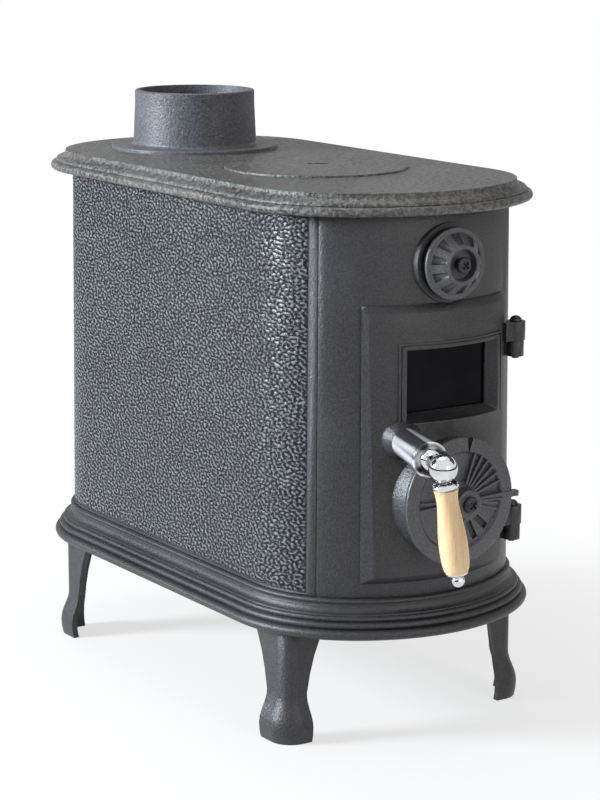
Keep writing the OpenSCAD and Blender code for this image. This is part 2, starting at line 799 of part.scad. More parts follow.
module door_knuckle(z) {
    arm = 17;
    arm_back = 2;
    arm_front = 5;
    round_front(hinge_a, hinge_r, z) {
        cylinder(r = knuckle_r, h = knuckle_h, $fn = 64);
        rotate([0, 0, -hinge_a + 8]) translate([-arm, -arm_front, 0]) cube([arm, arm_front + arm_back, knuckle_h]);
    }
}

module door_knuckles() {
    door_knuckle(low_lug_z + lug_h + knuckle_gap);
    door_knuckle(high_lug_z + lug_h + knuckle_gap);
}

inner_boss = 10;
boss_up = 10;
air_window_a = [42, 63];
air_turn = 45;

module door() {
    port_r = 5.5;
    port_at = 31;
    color(iron) difference() {
        union() {
            door_plate();
            window_bead();
            window_seat();
            intersection() {
                translate([0, 0, disc_z]) rod_y(disc_boss_r, -disc_face + 40, -disc_face);
                end_sweep(skin(door_gap, 40, disc_z - disc_r, disc_z + disc_r), -door_a, door_a);
            }
            on_spindle() turn_y([[0, -4], [19, -4], [18, 0], [12, boss_up], [0, boss_up]]);
            on_spindle() rod_y(9.5, inner_boss, 4 - eps);
            door_knuckles();
        }
        lap_frame(-1, door_gap + rope_d, rope_half, rope_w, rope_z1, rope_z2);
        window_cut();
        translate([0, 0, disc_z]) rod_y(disc_boss_r - disc_wall, 0, -disc_face + disc_plate);
        translate([0, 0, disc_z]) rod_y(air_screw_r + air_fit, 0, -big);
        translate([0, 0, disc_z]) for (h = [0, 180]) for (a = air_window_a) rotate([0, h + a - air_turn, 0])
            translate([port_at, 0, 0]) rod_y(port_r, 0, -big);
        on_spindle() rod_y(spindle_r + air_fit, 60, -60);
        for (z = [low_lug_z, high_lug_z]) round_front(hinge_a, hinge_r, z)
            cylinder(r = pin_r + pin_fit, h = lug_h + 2 * knuckle_h);
        clip_places() rod_y(2, -seat_y + 1, -seat_y - 7);
    }
}

module door_rope_seal() {
    slack = 0.15;
    color([0.62, 0.6, 0.56]) lap_frame(0.3, door_gap + rope_d - slack, rope_half + slack, rope_w - 2 * slack,
        rope_z1 - slack, rope_z2 + slack);
}

// ---------------------------------------------------------------- window pieces
glass_half = window_half + glass_lap;
glass_high = window_h / 2 + glass_lap;
clip_x = window_x - 2.4;

module window_gasket() {
    ring = glass_lap - 1;
    color([0.8, 0.78, 0.72]) translate([window_x, -seat_y, window_z]) difference() {
        translate([-glass_half, 0, -glass_high]) cube([2 * glass_half, gasket_t, 2 * glass_high]);
        translate([ring - glass_half, -1, ring - glass_high])
            cube([2 * (glass_half - ring), gasket_t + 2, 2 * (glass_high - ring)]);
    }
}

module window_glass() {
    color([0.08, 0.08, 0.1, 0.6]) translate([window_x - glass_half, gasket_t - seat_y, window_z - glass_high])
        cube([2 * glass_half, glass_t, 2 * glass_high]);
}

// The screw axis of each clip, above and below the glass
module clip_places() {
    for (s = [-1, 1]) translate([clip_x, 0, window_z + s * (glass_high + 3.5)]) children();
}

module window_clips() {
    reach = glass_lap + 7 + 4.4;
    foot = gasket_t + glass_t;
    color(steel) for (s = [0, 1]) translate([clip_x, -seat_y, window_z]) mirror([0, 0, s]) difference() {
        translate([-clip_w / 2, 0, glass_high + 0.3]) {
            cube([clip_w, foot + clip_t, 6.4]);
            translate([0, foot, 6.4 - reach]) cube([clip_w, clip_t, reach]);
        }
        translate([0, 0, glass_high + 3.5]) rod_y(2.1, 20, -1);
    }
}

module window_clip_screws() {
    head_y = gasket_t + glass_t + clip_t;
    color(steel) clip_places() translate([0, head_y - seat_y, 0]) {
        rod_y(1.95, 0, -head_y - 6);
        rotate([0, 0, 180]) pan_head(3.6, 2.2);
    }
}

// ---------------------------------------------------------------- hinge pins
module hinge_pins() {
    head_r = 5.5;
    head_h = 4.6;
    for (z = [low_lug_z, high_lug_z]) color(iron) round_front(hinge_a, hinge_r, z) {
        translate([0, 0, -2]) cylinder(r = pin_r, h = lug_h + knuckle_h + 2 * knuckle_gap + 2);
        translate([0, 0, lug_h + knuckle_h + 2 * knuckle_gap]) rotate_extrude()
            polygon(concat([[0, 0]], [for (i = [0:8]) [head_r * cos(i * 11.25), head_h * sin(i * 11.25)]]));
    }
}

// ---------------------------------------------------------------- lower air disc
hub_r = 13;
floor_t = 2;

// Places something at the disc's seat, local -Y outwards from the back of the disc
module on_disc() {
    translate([0, -disc_face - disc_gap, disc_z]) children();
}

// A radial bar on the disc at an angle counted clockwise from the right, seen from the front
module disc_bar(a, r1, r2, w, z1, z2) {
    rotate([0, a, 0]) translate([r1, -z2, -w / 2]) cube([r2 - r1, z2 - z1, w]);
}

module lower_air_disc() {
    inner = disc_r - disc_rim;
    hub_top = disc_t + hub_up;
    rib_w = 2.1;
    rib_top = disc_t + 0.8;
    fan_low = 18;
    fan_high = 70;
    color(iron) on_disc() difference() {
        union() {
            turn_y([[hub_r - 6, 0], [disc_r, 0], [disc_r, disc_t - 1], [disc_r - 1, disc_t],
                [inner + 1, disc_t + 0.8], [inner, disc_t], [inner - 1.5, floor_t], [hub_r - 6, floor_t]]);
            turn_y(concat([[0, 0], [hub_r + 6, 0], [hub_r + 6, floor_t], [hub_r + 1, disc_t + 3]],
                arc(hub_r - 1.5, hub_top - 1.5, 1.5, 0, 90, 4), [[0, hub_top]]));
            for (i = [0:fan_ribs - 1])
                disc_bar(-fan_low - i * (fan_high - fan_low) / (fan_ribs - 1), hub_r, inner + 0.5, rib_w, 0.2, rib_top);
            for (a = [9, 17]) disc_bar(a, hub_r, inner - 3, rib_w, 0.2, rib_top);
            for (a = [176, 184]) disc_bar(a, hub_r, inner + 0.5, rib_w, 0.2, rib_top);
            for (w = [-3.2, 0, 3.2]) disc_bar(w, hub_r, inner + 1, w == 0 ? 5 : 1.8, 0.2, w == 0 ? disc_t + 2 : disc_t + 3.6);
            disc_bar(0, inner, disc_r + 5.5, 5, 0.2, disc_t + 2);
        }
        rotate([0, -80, 0]) rotate([90, 0, 0]) linear_extrude(4 * disc_t, center = true)
            polygon([[inner - 2, 0], [disc_r + 2, 3.6], [disc_r + 2, -3.6]]);
        for (h = [0, 180]) for (a = air_window_a) disc_bar(h + a, hub_r + 9, inner - 4, 6, -1, floor_t + 1);
        rod_y(air_screw_r + air_fit, 1, -60);
    }
}

module lower_air_screw() {
    reach = disc_gap + disc_t + hub_up;
    color(iron) translate([0, -disc_face - reach, disc_z]) {
        pan_head(7.4, 4.6);
        rod_y(air_screw_r, reach + disc_plate + nut_h + 1, -eps);
    }
}

module lower_air_nut() {
    color(steel) translate([0, disc_plate - disc_face + nut_h, disc_z]) nut_y(13, nut_h, air_screw_r + air_fit);
}

// ---------------------------------------------------------------- upper air wheel
module upper_air_wheel() {
    rim_t = 2.8;
    cone_r = wheel_r - 4;
    hub = wheel_r * 0.52;
    well = hub - 2.6;
    top = rim_t + wheel_dome;
    slope = atan(wheel_dome / (cone_r - hub - 1));
    run = (cone_r - hub - 1) / cos(slope);
    flute_d = 2;
    color(iron) translate([0, -wheel_face - wheel_gap, wheel_z]) difference() {
        turn_y(concat([[0, 0], [wheel_r, 0], [wheel_r, rim_t - 1]], arc(wheel_r - 1, rim_t - 1, 1, 0, 90, 3),
            [[cone_r, rim_t], [hub + 1, top], [hub, top + 1], [hub - 1, top + 1], [well, top],
                [well - 0.8, top - wheel_well], [0, top - wheel_well]]));
        for (i = [0:wheel_lobes - 1]) rotate([0, 360 / wheel_lobes * i + 12, 0])
            translate([cone_r, -rim_t, 0]) rotate([0, 0, slope])
                translate([1 - run, flute_d - 2.6, 0]) rotate([0, 90, 0]) cylinder(r1 = 2.6, r2 = 4.6, h = run - 2);
        rod_y(air_screw_r + air_fit, 1, -60);
    }
}

module upper_air_screw() {
    seat = wheel_gap + 2.8 + wheel_dome - wheel_well + wheel_collar;
    color(iron) translate([0, -wheel_face - seat, wheel_z]) {
        pan_head(7, 4.4);
        rod_y(4.6, wheel_collar, -eps);
        rod_y(air_screw_r, seat + 11 + nut_h + 1, -eps);
    }
}

module upper_air_nut() {
    color(steel) translate([0, 11 - wheel_face + nut_h, wheel_z]) nut_y(13, nut_h, air_screw_r + air_fit);
}

// ---------------------------------------------------------------- handle
keeper_screw_x = -27;
keeper_screw_z = 5;
keeper_base_y = door_proud + wall_t + 5.4;

// Local origin where the spindle leaves the door's face, local -Y outwards
module on_spindle() {
    handle_a = chord_a(handle_x, front_r(handle_z) + door_proud);
    round_front(-handle_a, front_r(handle_z) + door_proud, handle_z) children();
}

// Local origin at the ball's centre, local -Z down the grip
module on_grip() {
    on_spindle() translate([0, -ball_reach, 0]) rotate([0, -grip_lean, 0]) children();
}

// A profile of [radius, distance down from the ball's centre] turned round the grip's axis
module turn_grip(pts) {
    mirror([0, 0, 1]) rotate_extrude() polygon(pts);
}

neck_r = 7.4;
ferrule_l = 6.8;
knob_r = 5.7;
grip_rod_r = 3;
tail = 27;

module handle_spindle() {
    color(steel) on_spindle() difference() {
        rod_y(spindle_r, tail, -ball_reach + ball_r + 4);
        translate([0, tail - 14, 0]) for (s = [-1, 1]) translate([-10, 1, s > 0 ? spindle_r - 0.8 : -spindle_r - 9.2])
            cube([20, 20, 10]);
    }
}

module handle_sleeve() {
    low = boss_up + 0.3;
    high = low + sleeve_l;
    foot = sleeve_r * 0.82;
    waist = sleeve_r * 0.925;
    color(chrome) on_spindle() turn_y(concat([[spindle_r + 0.05, low], [foot - 1, low], [foot, low + 1]],
        [for (i = [1:5]) [foot + (waist - foot) * i / 5, low + 1 + (sleeve_l - 9) * i / 5]],
        [[waist + 0.3, high - 5.5], [sleeve_r - 0.35, high - 2.6]],
        arc(sleeve_r - 1.2, high - 1.2, 1.2, 0, 120, 5),
        [for (i = [1:5]) [sleeve_r - 1.8 - i * (sleeve_r - neck_r - 3.4) / 5, high - 0.4 - 4.2 * sin(18 * i)]],
        [[spindle_r + 0.05, high - 4.6]]));
}

module handle_ball() {
    neck_y = boss_up + sleeve_l - 4;
    bead = neck_r + 1.4;
    color(chrome) on_spindle() difference() {
        union() {
            translate([0, -ball_reach, 0]) sphere(r = ball_r, $fn = 96);
            turn_y(concat([[0, neck_y], [neck_r, neck_y], [neck_r, neck_y + 3]],
                arc(bead - 1.6, neck_y + 5.6, 1.6, -70, 70, 5),
                [[neck_r - 1, neck_y + 8.4], [neck_r - 1, ball_reach - ball_r - 3], [neck_r + 1, ball_reach - ball_r],
                [neck_r + 1, ball_reach - 6], [0, ball_reach - 6]]));
        }
        rod_y(spindle_r + 0.05, 0, -ball_reach + ball_r + 3.5);
        translate([0, -ball_reach, 0]) rotate([0, -grip_lean, 0]) translate([0, 0, -ball_r - 1])
            cylinder(r = grip_rod_r + 0.05, h = 10);
    }
}

module handle_ferrule() {
    top = ball_r - 1.2;
    color(chrome) on_grip() difference() {
        turn_grip(concat([[0, top + 1.2], [7.5, top + 1.2]], arc(8.6, top + ferrule_l * 0.55, 2.6, -60, 60, 5),
            [[9.4, top + ferrule_l], [0, top + ferrule_l]]));
        translate([0, 0, -40]) cylinder(r = grip_rod_r + 0.05, h = 40);
        sphere(r = ball_r + 0.05);
    }
}

module handle_grip() {
    top = ball_r - 1.2 + ferrule_l;
    // Radius along the grip as [share of the length, radius]
    shape = [[0, grip_r * 0.85], [0.05, grip_r * 0.79], [0.12, grip_r * 0.745], [0.2, grip_r * 0.75],
        [0.35, grip_r * 0.84], [0.5, grip_r * 0.94], [0.65, grip_r], [0.8, grip_r * 0.99],
        [0.9, grip_r * 0.94], [0.96, grip_r * 0.87], [1, grip_r * 0.76]];
    color([0.85, 0.68, 0.45]) on_grip() difference() {
        turn_grip(concat([[0, top]], [for (p = shape) [p[1], top + p[0] * grip_l]], [[0, top + grip_l]]));
        translate([0, 0, -150]) cylinder(r = grip_rod_r + 0.05, h = 150);
    }
}

module handle_rod() {
    low = ball_r - 1.2 + ferrule_l + grip_l + 3;
    color(steel) on_grip() translate([0, 0, -low]) cylinder(r = grip_rod_r, h = low - ball_r + 6);
}

module handle_end_cap() {
    top = ball_r - 1.2 + ferrule_l + grip_l;
    knob = top + 7.2;
    scallops = 12;
    color(chrome) on_grip() difference() {
        turn_grip(concat([[0, top], [grip_r * 0.76, top], [grip_r * 0.74, top + 1.2], [6, top + 2.6], [3.6, top + 3.4]],
            arc(0, knob, knob_r, -48, 90, 10)));
        for (i = [0:scallops - 1]) rotate([0, 0, 360 / scallops * i]) translate([grip_r * 0.86, 0, -top - 2])
            cylinder(r = 1.6, h = 3);
        translate([0, 0, -top - 3.2]) cylinder(r = grip_rod_r + 0.05, h = 10);
    }
}

// ---------------------------------------------------------------- latch
washer_t = 1.5;
cam_t = 5;
cam_turn = -28;

module spindle_washer() {
    color(steel) on_spindle() difference() {
        rod_y(8.5, inner_boss + washer_t, inner_boss);
        rod_y(spindle_r + 0.05, 40, -1);
    }
}

module latch_cam() {
    tongue = 14.2;
    tongue_w = 8;
    start = inner_boss + washer_t;
    color(steel) on_spindle() rotate([0, cam_turn, 0]) translate([0, start + cam_t, 0]) rotate([90, 0, 0])
        linear_extrude(cam_t) difference() {
            union() {
                circle(r = 8);
                translate([-tongue, -tongue_w / 2]) square([tongue, tongue_w]);
            }
            circle(r = spindle_r + 0.05);
        }
}

module spindle_nut() {
    seat = inner_boss + washer_t + cam_t;
    color(steel) on_spindle() translate([0, seat + 6, 0]) nut_y(15, 6, spindle_r + 0.05);
}

module latch_keeper() {
    arm_y1 = 8.4;
    arm_y2 = inner_boss + washer_t - 0.3;
    plate_t = 2.6;
    arm_x = -17.4;
    arm_z = 0.9;
    arm_h = 8.6;
    color(steel) on_spindle() difference() {
        union() {
            translate([arm_x, arm_y1, arm_z]) cube([7.6, arm_y2 - arm_y1, arm_h]);
            translate([arm_x, arm_y1, arm_z]) cube([2, keeper_base_y + plate_t - arm_y1, arm_h]);
            translate([arm_x - 17, keeper_base_y, arm_z]) cube([19, plate_t, arm_h]);
        }
        translate([keeper_screw_x, 0, keeper_screw_z]) rod_y(2.1, keeper_base_y + 5, keeper_base_y - 2);
    }
}

module latch_keeper_screws() {
    color(steel) on_spindle() translate([keeper_screw_x, keeper_base_y + 2.6, keeper_screw_z]) {
        rod_y(1.95, 0, -8);
        rotate([0, 0, 180]) pan_head(3.6, 2.2);
    }
}

base_plate();
top_plate();
front_panel();
rear_panel();
left_side_panel();
right_side_panel();
front_left_leg();
front_right_leg();
rear_left_leg();
rear_right_leg();
leg_bolts();
tie_rods();
tie_rod_nuts();
flue_collar();
flue_collar_screws();
hob_lid();
fire_grate();
ash_pan();
baffle_plate();
door();
door_rope_seal();
window_glass();
window_gasket();
window_clips();
window_clip_screws();
hinge_pins();
lower_air_disc();
lower_air_screw();
lower_air_nut();
upper_air_wheel();
upper_air_screw();
upper_air_nut();
handle_spindle();
handle_sleeve();
handle_ball();
handle_ferrule();
handle_grip();
handle_rod();
handle_end_cap();
latch_cam();
spindle_washer();
spindle_nut();
latch_keeper();
latch_keeper_screws();
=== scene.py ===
import math

import bmesh
import bpy
import numpy as np
from mathutils import Matrix, Vector


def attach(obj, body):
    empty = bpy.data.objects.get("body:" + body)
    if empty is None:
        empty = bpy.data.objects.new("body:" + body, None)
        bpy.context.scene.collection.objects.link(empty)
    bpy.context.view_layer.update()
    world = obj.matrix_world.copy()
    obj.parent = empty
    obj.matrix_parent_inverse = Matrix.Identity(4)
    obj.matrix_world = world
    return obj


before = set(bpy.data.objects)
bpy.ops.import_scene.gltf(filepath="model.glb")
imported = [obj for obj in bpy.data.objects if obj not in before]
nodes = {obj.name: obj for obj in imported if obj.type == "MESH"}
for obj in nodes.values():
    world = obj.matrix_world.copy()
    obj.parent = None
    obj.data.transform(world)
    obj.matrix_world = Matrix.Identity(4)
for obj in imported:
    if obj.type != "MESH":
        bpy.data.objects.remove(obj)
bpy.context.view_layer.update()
mm = 0.001
print("frame loaded:", len(nodes), "pieces of the stove")


# ---- shader maths: a Wire is one socket, and sums on it add Math nodes
class Wire:
    def __init__(self, finish, socket):
        self.finish, self.socket = finish, socket

    def sum(self, operation, *terms):
        return self.finish.node("Math", {"operation": operation}, dict(enumerate(terms)))

    def __add__(self, other):
        return self.sum("ADD", self, other)

    def __sub__(self, other):
        return self.sum("SUBTRACT", self, other)

    def __rsub__(self, other):
        return self.sum("SUBTRACT", other, self)

    def __mul__(self, other):
        return self.sum("MULTIPLY", self, other)

    def __pow__(self, other):
        return self.sum("POWER", self, other)

    __radd__, __rmul__ = __add__, __mul__

    def most(self, other):
        return self.sum("MAXIMUM", self, other)

    def between(self, low, high):  # 0 at low, 1 at high, held at both ends
        return self.finish.node("MapRange", {"interpolation_type": "SMOOTHSTEP"},
                                {"Value": self, "From Min": low, "From Max": high})


# a material or world under construction
class Finish:
    def __init__(self, name, owner=None):
        self.material = owner or bpy.data.materials.new(name)
        self.material.use_nodes = True
        self.tree = self.material.node_tree
        self.tree.nodes.clear()

    def node(self, kind, settings=None, values=None, out=0):
        made = self.tree.nodes.new("ShaderNode" + kind)
        for key, value in (settings or {}).items():
            setattr(made, key, value)
        for key, value in (values or {}).items():
            if isinstance(value, Wire):
                self.tree.links.new(value.socket, made.inputs[key])
            else:
                made.inputs[key].default_value = value
        return Wire(self, made.outputs[out]) if made.outputs else None

    def mix(self, share, first, second):
        def paint(colour):
            return colour if isinstance(colour, Wire) else (*colour, 1)
        return self.node("Mix", {"data_type": "RGBA"}, {0: share, 6: paint(first), 7: paint(second)}, out=2)

    def place(self, stretch=(1, 1, 1)):
        spot = self.node("TexCoord", out=3)
        return self.node("Mapping", {}, {"Vector": spot, "Scale": stretch})

    def noise(self, scale, detail=2.0, roughness=0.5, distortion=0.0, stretch=(1, 1, 1)):
        return self.node("TexNoise", {}, {"Vector": self.place(stretch), "Scale": scale, "Detail": detail,
                                          "Roughness": roughness, "Distortion": distortion})

    def bump(self, height, depth, under=None):
        values = {"Height": height, "Distance": depth, "Strength": 1.0}
        if under:
            values["Normal"] = under
        return self.node("Bump", {}, values)

    def surface(self, values):
        self.output(self.node("BsdfPrincipled", {}, values))
        return self.material

    def output(self, shader):
        kind = "World" if isinstance(self.material, bpy.types.World) else "Material"
        self.node("Output" + kind, {}, {0: shader})


# ---- camera, as the photograph was taken
camera = {
    "place": (-1.26462, -1.94484, 0.74521),
    "yaw": 33.51,
    "pitch": 11.77,
    "roll": 0.15,
    "lens": 110.88,
}


def setCamera():
    yaw, pitch, roll = (math.radians(camera[key]) for key in ("yaw", "pitch", "roll"))
    ahead = Vector((math.sin(yaw) * math.cos(pitch), math.cos(yaw) * math.cos(pitch), -math.sin(pitch)))
    right = Vector((math.cos(yaw), -math.sin(yaw), 0))
    up = right.cross(ahead)
    across = right * math.cos(roll) + up * math.sin(roll)
    top = up * math.cos(roll) - right * math.sin(roll)
    data = bpy.data.cameras.new("camera")
    data.lens = camera["lens"]
    data.clip_start, data.clip_end = 0.05, 60
    holder = bpy.data.objects.new("camera", data)
    bpy.context.scene.collection.objects.link(holder)
    turn = Matrix((across, top, -ahead)).transposed().to_4x4()
    holder.matrix_world = Matrix.Translation(camera["place"]) @ turn
    bpy.context.scene.camera = holder


setCamera()
print("camera set")

# ---- soft studio light and a pale floor
studio = {
    "room": 0.27,  # light from all round
    "lamps": [  # name, place, size, power, colour
        ("window", (-2.6, 1.0, 1.25), 0.9, 178, (0.84, 0.92, 1.0)),
        ("ceiling", (0.1, 0.4, 3.0), 1.6, 26, (1.0, 0.985, 0.96)),
        ("front", (0.2, -3.2, 1.1), 1.4, 18, (1.0, 0.96, 0.94)),
    ],
    "lookAt": (0, 0, 0.3),  # where the lamps point
    "floorReach": 30.0,
    "floorTone": 0.80,
    "shadowFrom": 0.25, "shadowReach": 0.75,  # the floor turns white between these distances
    "floorGlow": 0.7,  # how white the floor is close to the stove
    "screenSteps": 96,
    # dark cloths that only glossy surfaces mirror: name, reach, low, high, from and to in degrees, tone
    "screens": [
        ("strip", 2.7, 0.02, 0.44, 0, 360, 0.03),
        ("curtain", 2.9, 1.15, 3.6, -30, 150, 0.10),
    ],
}


def seen(finish):  # 1 for the camera and for what metal and glass show
    direct, mirrored, through = (finish.node("LightPath", out=name)
                                 for name in ("Is Camera Ray", "Is Glossy Ray", "Is Transmission Ray"))
    return direct.most(mirrored).most(through)


def setWorld():
    world = bpy.data.worlds.new("studio")
    bpy.context.scene.world = world
    room = Finish("studio", world)
    strength = seen(room) * (1 - studio["room"]) + studio["room"]
    room.output(room.node("Background", {}, {"Color": (1, 1, 1, 1), "Strength": strength}))


def setLamps():
    for name, place, size, power, colour in studio["lamps"]:
        data = bpy.data.lights.new(name, "AREA")
        data.shape, data.size, data.energy, data.color = "DISK", size, power, colour
        lamp = bpy.data.objects.new(name, data)
        bpy.context.scene.collection.objects.link(lamp)
        lamp.location = place
        aim = Vector(studio["lookAt"]) - Vector(place)
        lamp.rotation_euler = aim.to_track_quat("-Z", "Y").to_euler()


def layFloor():
    reach, tone, glow = studio["floorReach"], studio["floorTone"], studio["floorGlow"]
    corners = [(-reach, -reach, 0), (reach, -reach, 0), (reach, reach, 0), (-reach, reach, 0)]
    mesh = bpy.data.meshes.new("floor")
    mesh.from_pydata(corners, [], [(0, 1, 2, 3)])
    floor = bpy.data.objects.new("floor", mesh)
    bpy.context.scene.collection.objects.link(floor)
    pale = Finish("paleFloor")
    spot = pale.node("TexCoord", out=3)
    away = pale.node("VectorMath", {"operation": "LENGTH"}, {0: spot}, out=1)
    far = away.between(studio["shadowFrom"], studio["shadowReach"]) * (1 - glow) + glow
    lit = pale.node("BsdfDiffuse", {}, {"Color": (tone, tone, tone, 1)})
    white = pale.node("Emission", {}, {"Color": (1, 1, 1, 1), "Strength": 1.0})
    pale.output(pale.node("MixShader", {}, {0: seen(pale) * far, 1: lit, 2: white}))
    mesh.materials.append(pale.material)


def hangScreen(name, reach, low, high, start, end, tone):
    form = bmesh.new()
    steps = studio["screenSteps"]
    turns = np.radians(np.linspace(start, end, steps + 1))
    hem, rail = ([form.verts.new((reach * math.cos(turn), reach * math.sin(turn), height)) for turn in turns]
                 for height in (low, high))
    for i in range(steps):
        form.faces.new((hem[i], hem[i + 1], rail[i + 1], rail[i]))
    mesh = bpy.data.meshes.new(name)
    form.to_mesh(mesh)
    form.free()
    cloth = Finish(name + "Cloth")
    cloth.output(cloth.node("BsdfDiffuse", {}, {"Color": (tone, tone, tone, 1)}))
    mesh.materials.append(cloth.material)
    screen = bpy.data.objects.new(name, mesh)
    bpy.context.scene.collection.objects.link(screen)
    screen.visible_camera = screen.visible_diffuse = False
    screen.visible_shadow = screen.visible_transmission = False


setWorld()
setLamps()
layFloor()
for cloth in studio["screens"]:
    hangScreen(*cloth)
bpy.context.scene.view_settings.view_transform = "Standard"
print("studio ready")

# ---- cast iron under a matt graphite paint: grain, lumps and speck are noise scales, depths are in mm
iron = {
    "body": {"dark": (0.004, 0.0038, 0.0048), "light": (0.046, 0.045, 0.05),
             "grain": 560, "depth": 0.5, "bite": (0.34, 0.68), "speck": 1100,
             "lumps": 150, "lumpDepth": 0.16, "gloss": 0.42, "shine": 0.55},
    "top": {"dark": (0.002, 0.002, 0.002), "light": (0.17, 0.167, 0.158),
            "grain": 260, "depth": 1.5, "bite": (0.42, 0.6), "speck": 420,
            "lumps": 110, "lumpDepth": 0.9, "gloss": 0.42, "shine": 0.5},
    "flue": {"dark": (0.026, 0.0265, 0.031), "light": (0.145, 0.147, 0.168),
             "grain": 480, "depth": 0.5, "bite": (0.34, 0.68), "speck": 900,
             "lumps": 210, "lumpDepth": 0.35, "gloss": 0.42, "shine": 0.42},
    # the hammered tones run from painted shade in the pits to a painted highlight on the crests
    "hammered": {"dark": (0.002, 0.002, 0.0035), "light": (0.205, 0.21, 0.232),
                 "grain": 820, "depth": 0.12, "bite": (0.34, 0.68), "speck": 1500,
                 "lumps": 240, "lumpDepth": 0.1, "gloss": 0.3, "shine": 0.3},
    # a lighter copy of the body iron for the air disc and wheel: a painted highlight standing in for their
    # shine
    "litCover": {"dark": (0.008, 0.008, 0.01), "light": (0.098, 0.098, 0.112),
              "grain": 560, "depth": 0.5, "bite": (0.34, 0.68), "speck": 1100,
              "lumps": 150, "lumpDepth": 0.16, "gloss": 0.34, "shine": 0.8},
    "inside": {"dark": (0.01, 0.0095, 0.0095), "light": (0.022, 0.021, 0.021),
               "grain": 500, "depth": 0.25, "bite": (0.34, 0.68), "speck": 1500,
               "lumps": 120, "lumpDepth": 0.3, "gloss": 0.7, "shine": 0.4},
}
shares = {"grit": 0.50, "cloud": 0.22, "speck": 0.28}  # what each noise gives to the colour
paintedCrestCurve = {"from": 0.22, "to": 1.0, "power": 1.7}  # how sharply the painted highlight on the hammered crests stands out


def castIron(name, byHeight=False):
    look = iron[name]
    finish = Finish(name + "Iron")
    grain = finish.noise(look["grain"], 3, 0.62)
    lumps = finish.noise(look["lumps"], 2, 0.5)
    cloud = finish.noise(9, 3, 0.55)
    speck = finish.noise(look["speck"], 1, 0.5)
    tone = grain.between(*look["bite"]) * shares["grit"] + cloud.between(0.3, 0.7) * shares["cloud"]
    tone = tone + speck.between(0.38, 0.68) * shares["speck"]
    if byHeight:  # painted shade in the pits and a painted highlight on the crests, set by height
        crest = finish.node("Attribute", {"attribute_name": "crest"}, out=2)
        crestHighlightPitShade = crest.between(paintedCrestCurve["from"], paintedCrestCurve["to"]) ** paintedCrestCurve["power"]
        tone = crestHighlightPitShade * (tone * 0.5 + 0.65)
    paint = finish.mix(tone, look["dark"], look["light"])
    gloss = look["gloss"] + (cloud - 0.5) * 0.16 + (speck - 0.5) * 0.18
    rough = finish.bump(lumps, look["lumpDepth"] * mm)
    fine = finish.bump(grain, look["depth"] * mm, rough)
    return finish.surface({"Base Color": paint, "Roughness": gloss, "Metallic": 0.0, "IOR": 1.5,
                           "Specular IOR Level": look["shine"], "Normal": fine})


bodyIron, topIron, flueIron, insideIron, litCoverIron = (
    castIron(name) for name in ("body", "top", "flue", "inside", "litCover"))
hammeredIron = castIron("hammered", byHeight=True)
print("cast iron finishes made")

metals = {
    "screw": {"dark": (0.018, 0.018, 0.020), "light": (0.05, 0.05, 0.055), "gloss": 0.38, "metal": 0.3},
    "steel": {"dark": (0.30, 0.30, 0.31), "light": (0.46, 0.46, 0.47), "gloss": 0.42, "metal": 1.0},
    "chrome": {"dark": (0.60, 0.61, 0.63), "light": (0.76, 0.77, 0.79), "gloss": 0.06, "metal": 1.0},
}


def barMetal(name):
    look = metals[name]
    finish = Finish(name + "Metal")
    smear = finish.noise(60, 3, 0.6)
    scratch = finish.noise(900, 2, 0.6)
    paint = finish.mix(smear.between(0.3, 0.7), look["dark"], look["light"])
    gloss = look["gloss"] + (smear - 0.5) * look["gloss"] * 0.6
    fine = finish.bump(scratch, 0.004 * mm)
    return finish.surface({"Base Color": paint, "Roughness": gloss, "Metallic": look["metal"],
                           "Normal": fine})


screwMetal, steelMetal, chromeMetal = (barMetal(name) for name in ("screw", "steel", "chrome"))

# the dark and pale bands along the sleeve are painted reflections
paintedStreaks = {
    "dark": (0.05, 0.05, 0.055), "pale": (0.86, 0.87, 0.89), "streaks": 95, "metal": 0.45, "gloss": 0.16,
    "spindle": (-0.31377, -0.9495, 0),  # the way the sleeve points
}


def streakReflectionChrome():  # the sleeve, with painted reflection streaks lengthways
    finish = Finish("streakReflectionChrome")
    spindle = paintedStreaks["spindle"]
    spot = finish.node("TexCoord", out=3)
    along = finish.node("VectorMath", {"operation": "DOT_PRODUCT"}, {0: spot, 1: spindle}, out=1)
    back = finish.node("VectorMath", {"operation": "SCALE"}, {0: spindle, 3: along * 0.97})
    flat = finish.node("VectorMath", {"operation": "SUBTRACT"}, {0: spot, 1: back})
    reflectionStreak = finish.node("TexNoise", {}, {"Vector": flat, "Scale": paintedStreaks["streaks"], "Detail": 1.0,
                                          "Roughness": 0.4})
    # painted reflection: dark and pale bands running along the spindle
    paint = finish.mix(reflectionStreak.between(0.40, 0.60), paintedStreaks["dark"], paintedStreaks["pale"])
    fine = finish.bump(finish.noise(900, 2, 0.6), 0.004 * mm)
    return finish.surface({"Base Color": paint, "Roughness": paintedStreaks["gloss"] + (reflectionStreak - 0.5) * 0.1,
                           "Metallic": paintedStreaks["metal"], "Normal": fine})


streakReflectionFinish = streakReflectionChrome()

# ---- wood, rope and glass
beech = {
    "pale": (0.81, 0.585, 0.33), "dark": (0.60, 0.36, 0.16), "fleck": (0.45, 0.25, 0.10),
    "rings": 260.0, "stretch": (1.0, 1.0, 0.09), "gloss": 0.33, "varnish": 0.25,
}


